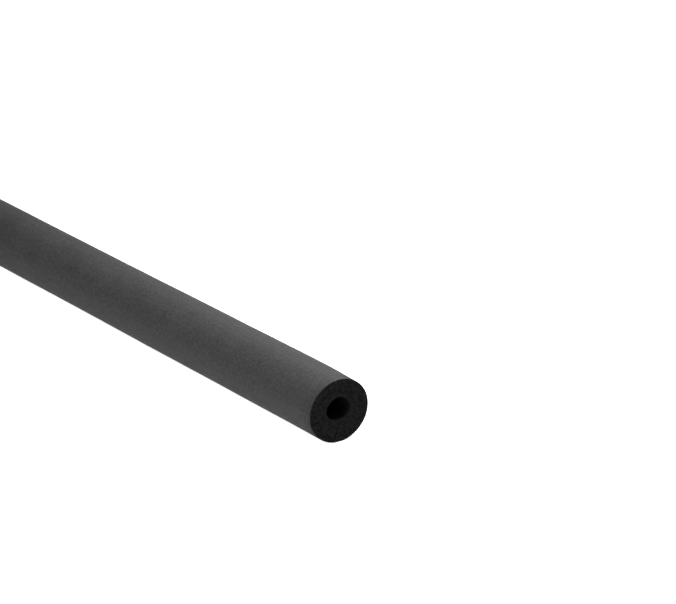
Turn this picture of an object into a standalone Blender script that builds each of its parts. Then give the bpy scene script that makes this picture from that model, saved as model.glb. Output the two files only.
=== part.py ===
"""One length of pipe insulation lagging: a round tube of black closed-cell rubber foam.

Metres, +Z up. The tube lies along X, with the origin on the axis of its bore at the middle
of its length. The bore takes a heating pipe, pushed in from an end.
"""

import math

import bpy

# Driving dimensions
PIPE_DIAMETER = 0.015
BORE_CLEARANCE = 0.002
WALL_THICKNESS = 0.013
TUBE_LENGTH = 1.0

# The knife leaves a crisp edge, which the foam's own softness rounds a little
CUT_EDGE_ROUNDING = 0.0004
CUT_EDGE_STEPS = 3
CUT_EDGE_LEAST_ANGLE = math.radians(35)

# Facets 2.1 mm wide outside. A multiple of four puts one at the bottom, top and both sides
FACETS_AROUND = 64

# Black rubber foam, as its satin skin shows
FOAM_COLOUR = (0.052, 0.052, 0.055, 1.0)
FOAM_ROUGHNESS = 0.62

BORE_RADIUS = (PIPE_DIAMETER + BORE_CLEARANCE) / 2
OUTER_RADIUS = BORE_RADIUS + WALL_THICKNESS
HALF_LENGTH = TUBE_LENGTH / 2

# The radii are measured to the facets' flats, so their corners lie a little further out
HALF_FACET = math.pi / FACETS_AROUND
CORNER_STRETCH = 1 / math.cos(HALF_FACET)


def clear_scene():
    for obj in list(bpy.data.objects):
        bpy.data.objects.remove(obj)


def new_collection(name):
    collection = bpy.data.collections.new(name)
    bpy.context.scene.collection.children.link(collection)
    return collection


def foam_material():
    material = bpy.data.materials.new("black_rubber_foam")
    material.use_nodes = True
    shader = material.node_tree.nodes["Principled BSDF"]
    shader.inputs["Base Color"].default_value = FOAM_COLOUR
    shader.inputs["Roughness"].default_value = FOAM_ROUGHNESS
    shader.inputs["Metallic"].default_value = 0.0
    return material


def wall_profile():
    """The wall's section as a closed loop of (along X, out from the axis), outer side first."""
    return [
        (HALF_LENGTH, OUTER_RADIUS),
        (-HALF_LENGTH, OUTER_RADIUS),
        (-HALF_LENGTH, BORE_RADIUS),
        (HALF_LENGTH, BORE_RADIUS),
    ]


def build_foam_tube(collection):
    """The wall's section turned once about X, from half a facet round, so that a flat lies down."""
    points = []
    for along, out in wall_profile():
        corner = out * CORNER_STRETCH
        points.append((along, -corner * math.sin(HALF_FACET), -corner * math.cos(HALF_FACET)))
    count = len(points)
    sides = [(i, (i + 1) % count) for i in range(count)]

    mesh = bpy.data.meshes.new("foam_tube")
    mesh.from_pydata(points, sides, [])
    mesh.materials.append(foam_material())
    tube = bpy.data.objects.new("foam_tube", mesh)
    collection.objects.link(tube)

    turn = tube.modifiers.new("turn_about_x", "SCREW")
    turn.axis = "X"
    turn.steps = FACETS_AROUND
    turn.render_steps = FACETS_AROUND
    turn.use_smooth_shade = True
    turn.use_merge_vertices = True
    turn.merge_threshold = 0.00001

    # Hardened normals keep the cut faces flat beside the smooth round ones
    rounding = tube.modifiers.new("cut_edges", "BEVEL")
    rounding.width = CUT_EDGE_ROUNDING
    rounding.segments = CUT_EDGE_STEPS
    rounding.limit_method = "ANGLE"
    rounding.angle_limit = CUT_EDGE_LEAST_ANGLE
    rounding.harden_normals = True
    return tube


clear_scene()
build_foam_tube(new_collection("pipe_insulation_lagging"))
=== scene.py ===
"""A length of black rubber foam pipe lagging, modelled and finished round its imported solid.

Run it as a script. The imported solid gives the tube's size and place. The tube is modelled over
it with Blender's own operators, gets a finish each for its skin, its cut ends and its bore, and
lies in a pale studio. Metres, +Z up. The tube lies along X, with the origin on the axis of its
bore at the middle of its length.
"""

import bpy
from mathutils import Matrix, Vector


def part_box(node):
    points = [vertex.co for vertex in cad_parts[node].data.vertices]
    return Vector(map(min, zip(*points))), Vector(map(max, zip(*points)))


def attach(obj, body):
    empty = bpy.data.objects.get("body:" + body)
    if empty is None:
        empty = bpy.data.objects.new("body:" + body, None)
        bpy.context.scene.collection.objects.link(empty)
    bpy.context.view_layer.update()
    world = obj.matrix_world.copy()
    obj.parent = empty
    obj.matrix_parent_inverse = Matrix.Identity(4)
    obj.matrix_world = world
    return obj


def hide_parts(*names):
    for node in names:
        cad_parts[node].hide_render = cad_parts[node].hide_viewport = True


bl_info = {
    "name": "Pipe Lagging",
    "version": (1, 0, 0),
    "blender": (4, 5, 0),
    "location": "3D View > Sidebar > Lagging",
    "description": "Models a length of foam pipe lagging, with its finishes and a pale studio",
    "category": "Add Mesh",
}

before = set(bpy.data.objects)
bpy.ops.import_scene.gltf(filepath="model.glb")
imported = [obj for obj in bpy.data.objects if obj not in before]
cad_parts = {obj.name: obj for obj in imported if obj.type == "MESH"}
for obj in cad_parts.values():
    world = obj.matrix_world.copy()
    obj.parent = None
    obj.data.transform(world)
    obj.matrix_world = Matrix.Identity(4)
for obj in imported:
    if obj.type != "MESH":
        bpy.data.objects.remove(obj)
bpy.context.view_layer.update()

import math

import bmesh
import bpy
from bpy.props import FloatProperty, FloatVectorProperty, IntProperty, PointerProperty
from mathutils import Euler, Vector

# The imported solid, which the tube is modelled over
TUBE_NODE = "foam_tube"
SOLID_LOW, SOLID_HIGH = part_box(TUBE_NODE)
LENGTH = SOLID_HIGH.x - SOLID_LOW.x
OUTER_DIAMETER = SOLID_HIGH.y - SOLID_LOW.y
BORE_DIAMETER = 2 * min(math.hypot(v.co.y, v.co.z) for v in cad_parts[TUBE_NODE].data.vertices)

# A length this small is nothing, when points are compared
TINY = 0.00002


def length_property(name, description, default):
    return FloatProperty(name=name, description=description, default=default, unit="LENGTH")


def number_property(name, description, default):
    return FloatProperty(name=name, description=description, default=default)


def count_property(name, description, default):
    return IntProperty(name=name, description=description, default=default)


def colour_property(name, description, default):
    return FloatVectorProperty(name=name, description=description, default=default, subtype="COLOR")


class TubeForm(bpy.types.PropertyGroup):
    """The tube's sizes, and what the knife and the foam's softness do to them"""

    length: length_property("Length", "From cut end to cut end", LENGTH)
    outer_diameter: length_property("Outer diameter", "Across the skin", OUTER_DIAMETER)
    bore_diameter: length_property("Bore diameter", "Across the hole for the pipe", BORE_DIAMETER)
    rim_rounding: length_property("Rim rounding", "How far the cut ends' outer edges are rounded", 0.0004)
    mouth_rounding: length_property("Mouth rounding", "How far the bore's mouths are rounded", 0.0009)
    flare_widening: number_property(
        "Flare widening", "How much wider the foam spreads towards its ends, as a factor", 1.045)
    flare_heightening: number_property(
        "Flare heightening", "How much higher the foam spreads towards its ends, as a factor", 1.02)
    end_widening: number_property(
        "End widening", "How much wider the knife leaves a cut end, as a factor", 1.015)
    end_lowering: number_property(
        "End lowering", "How much lower the knife leaves a cut end, as a factor", 0.973)
    mouth_lift: length_property("Mouth lift", "How far a mouth sits above the middle of its cut end", 0.0010)
    mouth_widening: number_property(
        "Mouth widening", "How much wider a mouth is than the bore, as a factor", 1.07)
    mouth_lowering: number_property(
        "Mouth lowering", "How much lower a mouth is than the bore, as a factor", 0.89)
    peak_lift: length_property("Peak lift", "How far the top of a mouth is drawn up to a soft point", 0.0006)
    sway: length_property("Sway", "How far the skin sways in and out over its length", 0.0005)
    sway_length: length_property("Sway length", "Along one sway of the skin", 0.09)
    dimples: length_property("Dimples", "How deep the small dips of the skin are", 0.00022)
    dimple_size: length_property("Dimple size", "Across one dip of the skin", 0.014)
    tears: length_property("Tears", "How deep the torn cells of the cut ends are", 0.00045)
    tear_size: length_property("Tear size", "Across one torn cell", 0.0011)
    facets_around: count_property("Facets around", "A multiple of four", 256)
    cuts_along_skin: count_property("Cuts along the skin", "Rings between the ends", 199)
    cuts_along_bore: count_property("Cuts along the bore", "Rings in the bore", 29)
    cuts_across_wall: count_property("Cuts across the wall", "Rings on a cut end", 44)


class SkinFinish(bpy.types.PropertyGroup):
    """The satin skin that forms on the foam as it leaves the die"""

    dark: colour_property("Dark", "The skin at its darkest", (0.0120, 0.0118, 0.0123))
    pale: colour_property("Pale", "The skin at its palest", (0.0402, 0.0396, 0.0412))
    pebble_size: length_property("Pebble size", "Across one pebble of the skin", 0.0013)
    pebble_height: length_property("Pebble height", "From pit to crown", 0.0001)
    cloud_size: length_property("Cloud size", "Across one soft paler patch", 0.02)
    streak_stretch: number_property("Streak stretch", "How many times longer than wide its streaks are", 25)
    least_roughness: number_property("Least roughness", "On the smoothest patches", 0.68)
    most_roughness: number_property("Most roughness", "On the dullest patches", 0.85)
    specular: number_property("Specular", "How much its surface mirrors", 0.18)


class CutFinish(bpy.types.PropertyGroup):
    """The matt, fine-celled foam that the knife opens"""

    # The pit colour is painted shade, darkening the inside of each open cell
    pit: colour_property("Pit", "Inside an open cell", (0.0018, 0.0018, 0.0019))
    wall: colour_property("Wall", "A cell's torn wall", (0.0160, 0.0158, 0.0168))
    cell_size: length_property("Cell size", "Across one of the larger cells", 0.0009)
    cell_depth: length_property("Cell depth", "How deep a cell is open", 0.00025)
    roughness: number_property("Roughness", "All over a cut end", 0.95)
    specular: number_property("Specular", "How much its surface mirrors", 0.05)


class BoreFinish(bpy.types.PropertyGroup):
    """The bore's own thin skin"""

    colour: colour_property("Colour", "The wall of the bore", (0.0085, 0.0085, 0.0090))
    # The mouth colour is painted light: the wall is paler near each mouth and darker deeper in as painted
    # shade
    mouth: colour_property("Mouth", "The wall at the very mouths", (0.0110, 0.0110, 0.0115))
    painted_mouth_light_depth: length_property("Tear length", "How far in from a mouth the wall is paler", 0.005)
    streak_size: length_property("Streak size", "Across one streak left by the mandrel", 0.0015)
    streak_height: length_property("Streak height", "How far a streak stands out", 0.00005)
    streak_stretch: number_property("Streak stretch", "How many times longer than wide its streaks are", 20)
    roughness: number_property("Roughness", "The wall of the bore", 0.7)
    specular: number_property("Specular", "How much its surface mirrors", 0.05)


class StudioLook(bpy.types.PropertyGroup):
    """The pale floor, the soft lights and the camera"""

    floor_colour: colour_property("Floor", "Colour of the floor", (0.35, 0.35, 0.35))
    floor_side: length_property("Floor side", "Length of its sides", 60)
    floor_glow: number_property("Floor glow", "Light that comes up through it, as on a light table", 0.9)
    ceiling_strength: number_property(
        "Ceiling strength", "Even light from above, in watts per square metre", 1.2)
    ceiling_spread: FloatProperty(
        name="Ceiling spread", description="How wide that light is", default=math.radians(110),
        unit="ROTATION")
    back_power: number_property("Back power", "The softbox above the near end, in watts", 5.8)
    side_power: number_property("Side power", "The softbox on the viewer's side, in watts", 5.4)
    far_power: number_property("Far power", "The softbox behind the far end, in watts", 4.6)
    room_strength: number_property("Room strength", "Light that the room sends back from all sides", 0.02)


class LaggingSettings(bpy.types.PropertyGroup):
    """All that the panel shows"""

    form: PointerProperty(type=TubeForm)
    skin: PointerProperty(type=SkinFinish)
    cut: PointerProperty(type=CutFinish)
    bore: PointerProperty(type=BoreFinish)
    studio: PointerProperty(type=StudioLook)


def off_axis(vertex):
    """How far a vertex lies from the bore's axis."""
    return math.hypot(vertex.co.y, vertex.co.z)


def pick(piece, kind, wanted):
    """In edit mode, selects the piece's VERT, EDGE or FACE items that are wanted, and nothing else."""
    bpy.ops.mesh.select_mode(type=kind)
    bpy.ops.mesh.select_all(action="DESELECT")
    mesh = bmesh.from_edit_mesh(piece.data)
    for item in {"VERT": mesh.verts, "EDGE": mesh.edges, "FACE": mesh.faces}[kind]:
        if wanted(item):
            item.select_set(True)
    bmesh.update_edit_mesh(piece.data)


def pull(move, reach, **values):
    """Moves or scales what is picked, and what lies within reach of it less and less."""
    move(use_proportional_edit=True, proportional_edit_falloff="SMOOTH", proportional_size=reach, **values)


# A face that looks along the tube has a normal with more X than this
END_ON = 0.9
# An edge that turns by more than this was cut by the knife
KNIFE_TURN = math.radians(60)
# Steps that round the edges of the cut ends, outside and at the bore
RIM_STEPS, MOUTH_STEPS = 3, 4
# Shares of the wall, from the bore outwards, that tell its parts apart
NEAR_BORE, MID_WALL, NEAR_SKIN = 0.1, 0.5, 0.9
# An edge that spans more than this share of the wall or of the tube hasn't been subdivided yet
UNCUT = 0.8


def wall_share(form, vertex):
    """How far out through the wall a vertex of the plain tube lies, from 0 at the bore to 1 at the skin."""
    return (2 * off_axis(vertex) - form.bore_diameter) / (form.outer_diameter - form.bore_diameter)


def rough_out_tube(form):
    """The plain tube: a cylinder whose ends are inset to the bore and bridged, with rounded edges."""
    bpy.ops.object.select_all(action="DESELECT")
    bpy.ops.mesh.primitive_cylinder_add(
        vertices=form.facets_around, radius=form.outer_diameter / 2, depth=form.length,
        end_fill_type="NGON", rotation=(0, math.pi / 2, 0))
    tube = bpy.context.object
    tube.name = tube.data.name = "lagging_tube"
    bpy.ops.object.transform_apply(location=True, rotation=True, scale=True)

    bpy.ops.object.mode_set(mode="EDIT")
    pick(tube, "FACE", lambda face: abs(face.normal.x) > END_ON)
    bpy.ops.mesh.inset(
        thickness=(form.outer_diameter - form.bore_diameter) / 2, depth=0, use_individual=True)
    bpy.ops.mesh.delete(type="FACE")
    pick(tube, "EDGE", lambda edge: edge.is_boundary)
    bpy.ops.mesh.bridge_edge_loops(number_cuts=form.cuts_along_bore)

    def runs_along(edge):
        return abs(edge.verts[0].co.x - edge.verts[1].co.x) > UNCUT * form.length

    def crosses_wall(edge):
        return abs(wall_share(form, edge.verts[0]) - wall_share(form, edge.verts[1])) > UNCUT

    def is_rim(edge):
        return edge.calc_face_angle() > KNIFE_TURN and wall_share(form, edge.verts[0]) > MID_WALL

    def is_mouth(edge):
        return edge.calc_face_angle() > KNIFE_TURN and wall_share(form, edge.verts[0]) < MID_WALL

    pick(tube, "EDGE", runs_along)
    bpy.ops.mesh.subdivide(number_cuts=form.cuts_along_skin)
    pick(tube, "EDGE", is_rim)
    bpy.ops.mesh.bevel(offset=form.rim_rounding, segments=RIM_STEPS, clamp_overlap=True)
    pick(tube, "EDGE", is_mouth)
    bpy.ops.mesh.bevel(offset=form.mouth_rounding, segments=MOUTH_STEPS, clamp_overlap=True)
    pick(tube, "EDGE", crosses_wall)
    bpy.ops.mesh.subdivide(number_cuts=form.cuts_across_wall)
    bpy.ops.mesh.select_all(action="SELECT")
    bpy.ops.mesh.normals_make_consistent(inside=False)
    bpy.ops.object.mode_set(mode="OBJECT")
    return tube


# How far along or across the tube the foam's spreading and the knife's pressure reach
FLARE_REACH = 0.35
END_REACH = 0.03
MOUTH_REACH = 0.010
PEAK_REACH = 0.0045


def shape_ends(tube, form):
    """The knife presses each mouth off the middle and each end lower, and the foam spreads to its ends."""
    mouth_radius = form.bore_diameter / 2 + form.mouth_rounding
    peak = mouth_radius * form.mouth_lowering + form.mouth_lift

    bpy.ops.object.mode_set(mode="EDIT")
    for end in (form.length / 2, -form.length / 2):

        def on_end(vertex):
            return abs(vertex.co.x - end) < TINY

        pick(tube, "VERT", lambda v: on_end(v) and wall_share(form, v) < NEAR_BORE)
        pull(bpy.ops.transform.resize, MOUTH_REACH, center_override=(end, 0, 0),
             value=(1, form.mouth_widening, form.mouth_lowering))
        pull(bpy.ops.transform.translate, MOUTH_REACH, value=(0, 0, form.mouth_lift))
        pick(tube, "VERT", lambda v: on_end(v) and abs(v.co.z - peak) < form.peak_lift
             and abs(v.co.y) < 0.1 * form.bore_diameter)
        pull(bpy.ops.transform.translate, PEAK_REACH, value=(0, 0, form.peak_lift))
        pick(tube, "VERT", lambda v: on_end(v) and wall_share(form, v) > NEAR_SKIN)
        pull(bpy.ops.transform.resize, FLARE_REACH, center_override=(end, 0, -form.outer_diameter / 4),
             value=(1, form.flare_widening, form.flare_heightening))
        pull(bpy.ops.transform.resize, END_REACH, center_override=(end, 0, -form.outer_diameter / 2),
             value=(1, form.end_widening, form.end_lowering))
    bpy.ops.object.mode_set(mode="OBJECT")


# The tube's surfaces, by the number of their material
SKIN, CUT, BORE = 0, 1, 2
# Faces that meet at less than this angle are shaded as one smooth surface
SMOOTH_ANGLE = math.radians(50)


def share_out_surfaces(tube, form, materials):
    """Gives the skin, the cut ends and the bore their materials and their groups of vertices."""
    wall_middle = (form.outer_diameter + form.bore_diameter) / 4
    steep = math.cos(math.radians(45))

    def surface_of(face):
        middle = face.calc_center_median()
        if abs(face.normal.x) > steep and abs(middle.x) > form.length / 2 - form.rim_rounding:
            return CUT
        return SKIN if math.hypot(middle.y, middle.z) > wall_middle else BORE

    bpy.ops.object.mode_set(mode="EDIT")
    for surface, material in enumerate(materials):
        tube.data.materials.append(material)
        pick(tube, "FACE", lambda face: surface_of(face) == surface)
        tube.active_material_index = surface
        bpy.ops.object.material_slot_assign()
        tube.vertex_groups.new(name=material.name)
        bpy.ops.object.vertex_group_assign()
    bpy.ops.object.mode_set(mode="OBJECT")
    bpy.ops.object.shade_smooth_by_angle(angle=SMOOTH_ANGLE)


def press_relief(tube, name, group, texture_kind, size, depth, level):
    """Gives a group of the tube's vertices a random relief of that depth, with features of that size.

    The level is the share of the depth that lies inside the plain surface.
    """
    texture = bpy.data.textures.new(name, texture_kind)
    texture.noise_scale = size
    relief = tube.modifiers.new(name, "DISPLACE")
    relief.texture = texture
    relief.texture_coords = "LOCAL"
    relief.vertex_group = group
    relief.mid_level = level
    relief.strength = depth
    bpy.ops.object.modifier_apply(modifier=name)


# The bake map: the skin in strips one above the other, the cut ends beside them, the bore on top
SKIN_STRIPS = 3
STRIPS_WIDTH, STRIPS_HEIGHT = 0.74, 0.9
ENDS_LEFT, ENDS_SIDE = 0.75, 0.245
BORE_HEIGHT = 0.09
MAP_GAP = 0.004
# A cut end's square on the map is this many times as wide as the tube
END_MARGIN = 1.1


def lay_out_bake_map(tube, form):
    """Gives the tube the map that its finishes are baked to, with its seam under the tube."""
    half = form.length / 2
    strip_length = form.length / SKIN_STRIPS
    strip_row = STRIPS_HEIGHT / SKIN_STRIPS
    end_span = END_MARGIN * form.outer_diameter
    mesh = tube.data
    places = mesh.uv_layers.new(name="OFBake").data

    def round_share(point, near):
        """How far round the tube a point lies, in full turns from below it, on the same turn as near."""
        share = math.atan2(point.y, -point.z) / math.tau % 1
        return share + round(near - share)

    def on_skin(point, middle, turn):
        strip = min(SKIN_STRIPS - 1, int((middle.x + half) / strip_length))
        along = (point.x + half) / strip_length - strip
        return (MAP_GAP + along * (STRIPS_WIDTH - 2 * MAP_GAP),
                strip * strip_row + MAP_GAP + round_share(point, turn) * (strip_row - 2 * MAP_GAP))

    def in_bore(point, middle, turn):
        return (MAP_GAP + (point.x / form.length + 0.5) * (1 - 2 * MAP_GAP),
                STRIPS_HEIGHT + MAP_GAP + round_share(point, turn) * (BORE_HEIGHT - MAP_GAP))

    def on_cut_end(point, middle, turn):
        side = 1 if middle.x > 0 else -1
        bottom = 0 if side > 0 else ENDS_SIDE + MAP_GAP
        return (ENDS_LEFT + (side * point.y / end_span + 0.5) * ENDS_SIDE,
                bottom + (point.z / end_span + 0.5) * ENDS_SIDE)

    layouts = {SKIN: on_skin, CUT: on_cut_end, BORE: in_bore}
    for face in mesh.polygons:
        lay = layouts[face.material_index]
        turn = math.atan2(face.center.y, -face.center.z) / math.tau % 1
        for corner in face.loop_indices:
            point = mesh.vertices[mesh.loops[corner].vertex_index].co
            places[corner].uv = lay(point, face.center, turn)


def new_material(name):
    """A material with its node tree and its Principled shader."""
    material = bpy.data.materials.new(name)
    material.use_nodes = True
    return material, material.node_tree, material.node_tree.nodes["Principled BSDF"]


def add_node(tree, kind, inputs, **settings):
    """Adds a shader node. Its inputs are given by name or number, as values or as other nodes' outputs."""
    made = tree.nodes.new("ShaderNode" + kind)
    for name, value in settings.items():
        setattr(made, name, value)
    for name, value in inputs.items():
        if isinstance(value, bpy.types.NodeSocket):
            tree.links.new(value, made.inputs[name])
        else:
            made.inputs[name].default_value = value
    return made


def noise(tree, place, size, detail=2.0, **inputs):
    """Soft random values, about one wave to each size."""
    inputs = {"Vector": place, "Scale": 1 / size, "Detail": detail, **inputs}
    return add_node(tree, "TexNoise", inputs).outputs[0]


def cells(tree, place, size, feature="F1", **inputs):
    """Distances within packed cells of that size."""
    inputs = {"Vector": place, "Scale": 1 / size, **inputs}
    return add_node(tree, "TexVoronoi", inputs, feature=feature).outputs["Distance"]


def spread(tree, value, low, high, to_low, to_high):
    """The value's range from low to high, stretched to another range and held there."""
    return add_node(tree, "MapRange", {0: value, 1: low, 2: high, 3: to_low, 4: to_high}).outputs[0]


def maths(tree, operation, *values):
    """What a Math node makes of the values."""
    return add_node(tree, "Math", dict(enumerate(values)), operation=operation).outputs[0]


def weighted(tree, *parts):
    """The sum of values, each times its share. They are given as (value, share)."""
    total = 0.0
    for value, share in parts:
        total = maths(tree, "MULTIPLY_ADD", value, share, total)
    return total


def colour_between(tree, share, first, second):
    """A colour that goes from the first to the second as share goes from 0 to 1."""
    return add_node(tree, "Mix", {0: share, 6: (*first, 1), 7: (*second, 1)}, data_type="RGBA").outputs[2]


def stretched(tree, place, factor):
    """The place with its X squeezed, so that what is drawn there is that many times longer along X."""
    return add_node(tree, "Mapping", {"Vector": place, "Scale": (1 / factor, 1, 1)}).outputs[0]


# Most of a noise's values lie in here
SOFT_RANGE = (0.3, 0.7)
# How near a cell's edge its torn wall starts and ends, in cells
TORN_WALL = (0.02, 0.28)


def skin_material(finish):
    """Satin black skin: close pebbles with painted light and shade, soft paler clouds, and faint streaks
    drawn out along the tube.
    """
    material, tree, shader = new_material("foam_skin")
    place = add_node(tree, "TexCoord", {}).outputs["Object"]
    pebbles = cells(tree, place, finish.pebble_size, "SMOOTH_F1", Smoothness=0.7)
    mottle = noise(tree, place, finish.pebble_size * 1.3, detail=4, Roughness=0.6)
    grain = noise(tree, place, finish.pebble_size * 0.45)
    specks = spread(tree, cells(tree, place, finish.pebble_size * 1.4), 0.12, 0.32, 1, 0)
    cloud = noise(tree, place, finish.cloud_size, detail=3)
    streaks = noise(tree, stretched(tree, place, finish.streak_stretch), finish.pebble_size * 1.6)

    # Crowns stand up and pits sink in the bump; the colour paints the crowns paler as painted light and the
    # pits darker as painted shade
    crown_height_and_painted_light = spread(tree, pebbles, 0.1, 0.75, 1, 0)
    relief = weighted(tree, (crown_height_and_painted_light, 0.4), (mottle, 0.45), (grain, 0.15))
    # The colour: random mottle, specks, clouds and streaks, plus the painted light and shade of the pebbles
    tone_and_painted_shade = weighted(
        tree, (crown_height_and_painted_light, 0.2), (spread(tree, mottle, 0.32, 0.68, 0, 1), 0.45), (specks, 0.25),
        (spread(tree, cloud, *SOFT_RANGE, 0, 1), 0.2), (spread(tree, streaks, *SOFT_RANGE, 0, 1), 0.1))

    bump = add_node(tree, "Bump", {"Strength": 1.0, "Distance": finish.pebble_height, "Height": relief})
    tree.links.new(bump.outputs[0], shader.inputs["Normal"])
    tree.links.new(colour_between(tree, tone_and_painted_shade, finish.dark, finish.pale), shader.inputs["Base Color"])
    tree.links.new(spread(tree, cloud, *SOFT_RANGE, finish.least_roughness, finish.most_roughness),
                   shader.inputs["Roughness"])
    shader.inputs["Specular IOR Level"].default_value = finish.specular
    return material


def cut_material(finish):
    """Matt cut foam: open cells of two sizes, with painted shade inside, and paler torn foam between them.
    """
    material, tree, shader = new_material("cut_foam")
    place = add_node(tree, "TexCoord", {}).outputs["Object"]
    large = cells(tree, place, finish.cell_size, "DISTANCE_TO_EDGE")
    small = cells(tree, place, finish.cell_size * 0.45, "DISTANCE_TO_EDGE")
    clumps = noise(tree, place, finish.cell_size * 1.8, detail=3, Roughness=0.6)

    # Each cell's torn wall as a mask: height for the bump, and in the colour painted shade that darkens the
    # pits
    wall_height_and_pit_shade = weighted(tree, (spread(tree, large, *TORN_WALL, 1, 0), 0.6),
                     (spread(tree, small, *TORN_WALL, 1, 0), 0.4))
    tone_and_painted_shade = maths(tree, "MULTIPLY", wall_height_and_pit_shade, spread(tree, clumps, 0.35, 0.65, 0.2, 1.8))

    bump = add_node(tree, "Bump", {"Strength": 1.0, "Distance": finish.cell_depth, "Height": wall_height_and_pit_shade})
    tree.links.new(bump.outputs[0], shader.inputs["Normal"])
    tree.links.new(colour_between(tree, tone_and_painted_shade, finish.pit, finish.wall), shader.inputs["Base Color"])
    shader.inputs["Roughness"].default_value = finish.roughness
    shader.inputs["Specular IOR Level"].default_value = finish.specular
    return material


def bore_material(finish, half_length):
    """The bore's thin skin, streaked by the mandrel, painted paler at its mouths as painted light."""
    material, tree, shader = new_material("bore_skin")
    place = add_node(tree, "TexCoord", {}).outputs["Object"]
    streaks = noise(tree, stretched(tree, place, finish.streak_stretch), finish.streak_size)
    along = add_node(tree, "SeparateXYZ", {0: place}).outputs["X"]
    from_middle = maths(tree, "ABSOLUTE", along)
    # Painted light and shade: the wall is painted paler over the last stretch before each mouth
    torn = spread(tree, from_middle, half_length - finish.painted_mouth_light_depth, half_length, 0, 1)
    torn = maths(tree, "MULTIPLY", torn, torn)

    bump = add_node(tree, "Bump", {"Strength": 1.0, "Distance": finish.streak_height, "Height": streaks})
    tree.links.new(bump.outputs[0], shader.inputs["Normal"])
    tree.links.new(colour_between(tree, torn, finish.colour, finish.mouth), shader.inputs["Base Color"])
    shader.inputs["Roughness"].default_value = finish.roughness
    shader.inputs["Specular IOR Level"].default_value = finish.specular
    return material


class LAGGING_OT_foam_tube(bpy.types.Operator):
    """Models the foam tube with its cut ends and its bore, and gives it its finishes"""

    bl_idname = "lagging.foam_tube"
    bl_label = "Foam Tube"

    def execute(self, context):
        settings = context.scene.lagging
        form = settings.form
        tube = rough_out_tube(form)
        shape_ends(tube, form)
        materials = [
            skin_material(settings.skin), cut_material(settings.cut),
            bore_material(settings.bore, form.length / 2),
        ]
        share_out_surfaces(tube, form, materials)
        press_relief(tube, "slow_sway", "foam_skin", "CLOUDS", form.sway_length, form.sway, level=0.5)
        press_relief(tube, "dimples", "foam_skin", "CLOUDS", form.dimple_size, form.dimples, level=0.5)
        press_relief(tube, "torn_cells", "cut_foam", "VORONOI", form.tear_size, form.tears, level=1)
        lay_out_bake_map(tube, form)
        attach(tube, "root")
        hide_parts(TUBE_NODE)
        return {"FINISHED"}


# The camera stands where the photograph's outlines put it, with a long lens
CAMERA_PLACE = (2.2372, -1.2342, 0.8560)
CAMERA_AZIMUTH = math.radians(54.63)
CAMERA_ELEVATION = math.radians(20.17)
SENSOR_WIDTH = 36
LENS = 192.71
NEAREST_SEEN, FURTHEST_SEEN = 0.05, 200

CEILING_PLACE = (0.0, 0.0, 3.0)

# Where the softboxes stand, and the length of their sides. All of them shine on one point of the tube
SOFTBOXES = {
    "back": ((0.45, 0.2, 0.45), 0.3),
    "side": ((0.45, -0.7, 0.35), 0.5),
    "far": ((-0.4, 0.7, 0.7), 0.5),
}
LIT_POINT = (0.3, 0.0, 0.0)

FLOOR_ROUGHNESS = 0.9
FLOOR_SPECULAR = 0.2


def add_camera():
    """The camera, which the render looks through."""
    camera_data = bpy.data.cameras.new("camera")
    camera_data.sensor_width = SENSOR_WIDTH
    camera_data.lens = LENS
    camera_data.clip_start = NEAREST_SEEN
    camera_data.clip_end = FURTHEST_SEEN
    camera = bpy.data.objects.new("camera", camera_data)
    camera.location = CAMERA_PLACE
    camera.rotation_euler = Euler((math.pi / 2 - CAMERA_ELEVATION, 0, CAMERA_AZIMUTH))
    bpy.context.scene.collection.objects.link(camera)
    bpy.context.scene.camera = camera


def add_floor(look):
    """A pale level floor under the tube, lit a little from below."""
    bpy.ops.object.select_all(action="DESELECT")
    bpy.ops.mesh.primitive_plane_add(size=look.floor_side, location=(0, 0, SOLID_LOW.z))
    floor = bpy.context.object
    floor.name = "floor"
    material, tree, shader = new_material("pale_floor")
    shader.inputs["Base Color"].default_value = (*look.floor_colour, 1)
    shader.inputs["Roughness"].default_value = FLOOR_ROUGHNESS
    shader.inputs["Specular IOR Level"].default_value = FLOOR_SPECULAR
    shader.inputs["Emission Color"].default_value = (1, 1, 1, 1)
    shader.inputs["Emission Strength"].default_value = look.floor_glow
    floor.data.materials.append(material)


def add_lamp(name, kind, strength, place, lit_point, **settings):
    """A lamp at its place that shines at a point."""
    data = bpy.data.lights.new(name, kind)
    data.energy = strength
    for setting, value in settings.items():
        setattr(data, setting, value)
    lamp = bpy.data.objects.new(name, data)
    lamp.location = place
    lamp.rotation_euler = (Vector(place) - Vector(lit_point)).to_track_quat("Z", "Y").to_euler()
    bpy.context.scene.collection.objects.link(lamp)


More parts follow.
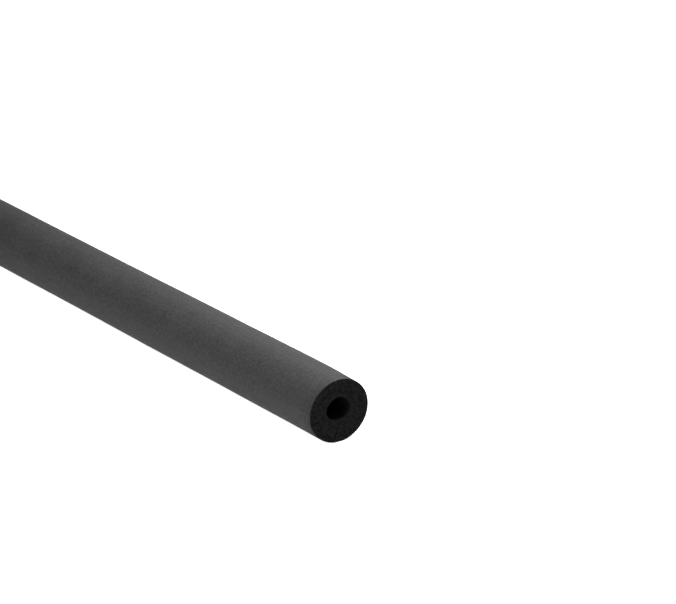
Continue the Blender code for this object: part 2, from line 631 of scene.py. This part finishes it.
def fill_room(look):
    """Even grey light from all sides."""
    world = bpy.data.worlds.new("room")
    world.use_nodes = True
    backdrop = world.node_tree.nodes["Background"]
    backdrop.inputs["Color"].default_value = (1, 1, 1, 1)
    backdrop.inputs["Strength"].default_value = look.room_strength
    bpy.context.scene.world = world


class LAGGING_OT_studio(bpy.types.Operator):
    """Sets up the camera, the pale floor and the soft lights"""

    bl_idname = "lagging.studio"
    bl_label = "Studio"

    def execute(self, context):
        look = context.scene.lagging.studio
        context.scene.view_settings.view_transform = "Standard"
        add_camera()
        add_floor(look)
        add_lamp("ceiling", "SUN", look.ceiling_strength, CEILING_PLACE, (0, 0, 0),
                 angle=look.ceiling_spread)
        for name, (place, side) in SOFTBOXES.items():
            add_lamp(f"{name}_softbox", "AREA", getattr(look, f"{name}_power"), place, LIT_POINT,
                     shape="SQUARE", size=side)
        fill_room(look)
        return {"FINISHED"}


class LAGGING_PT_panel(bpy.types.Panel):
    """The lagging's sizes and finishes, and its operators"""

    bl_idname = "LAGGING_PT_panel"
    bl_label = "Pipe Lagging"
    bl_space_type = "VIEW_3D"
    bl_region_type = "UI"
    bl_category = "Lagging"

    def draw(self, context):
        settings = context.scene.lagging
        for title, group, operator in (
            ("Studio", settings.studio, "lagging.studio"),
            ("Tube", settings.form, "lagging.foam_tube"),
            ("Skin", settings.skin, None),
            ("Cut ends", settings.cut, None),
            ("Bore", settings.bore, None),
        ):
            box = self.layout.box()
            box.label(text=title)
            for name in group.__annotations__:
                box.prop(group, name)
            if operator:
                box.operator(operator)


CLASSES = (
    TubeForm, SkinFinish, CutFinish, BoreFinish, StudioLook, LaggingSettings,
    LAGGING_OT_studio, LAGGING_OT_foam_tube, LAGGING_PT_panel,
)


def register():
    for cls in CLASSES:
        bpy.utils.register_class(cls)
    bpy.types.Scene.lagging = PointerProperty(type=LaggingSettings)


def unregister():
    del bpy.types.Scene.lagging
    for cls in reversed(CLASSES):
        bpy.utils.unregister_class(cls)


def main():
    register()
    bpy.ops.lagging.studio()
    bpy.ops.lagging.foam_tube()


if __name__ == "__main__":
    main()
